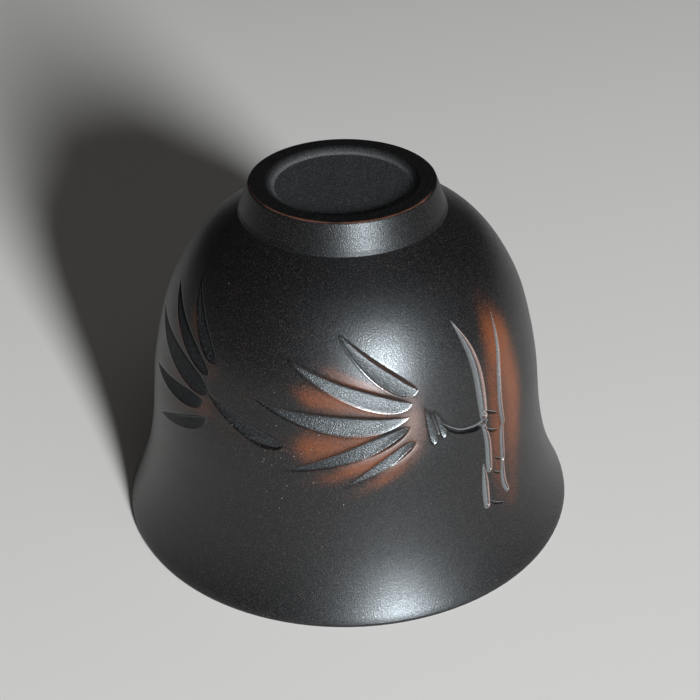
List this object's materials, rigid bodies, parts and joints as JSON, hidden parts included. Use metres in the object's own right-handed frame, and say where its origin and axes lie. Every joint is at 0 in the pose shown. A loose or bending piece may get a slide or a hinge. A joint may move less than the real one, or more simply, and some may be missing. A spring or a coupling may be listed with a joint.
{
  "type": "clay teacup",
  "caption": "Small handleless clay teacup, bell-shaped with a flared lip, a luted foot ring and a shallow well, modelled mouth down on its lip.",
  "frame": {"origin": "centre of the lip, in the plane that the cup stands on when it is turned mouth down", "axes": "+Z along the cup's axis of revolution, from the lip up to the foot; the carved front of the wall faces -Y"},
  "size_m": [0.07, 0.07, 0.0544],
  "materials": {
    "dark_clay": "burnished dark clay, satin, with red-brown patches where it is polished through",
    "polished_clay": "burnished dark clay, satin",
    "unpolished_clay": "fired dark clay, fine matt grain",
    "fired_slip": "fired clay slip, matt"
  },
  "bodies": {
    "root": {"cup_wall": "dark_clay", "foot_ring": "polished_clay", "base_disc": "unpolished_clay", "base_slip": "fired_slip", "foot_slip": "fired_slip"}
  },
  "joints": []
}
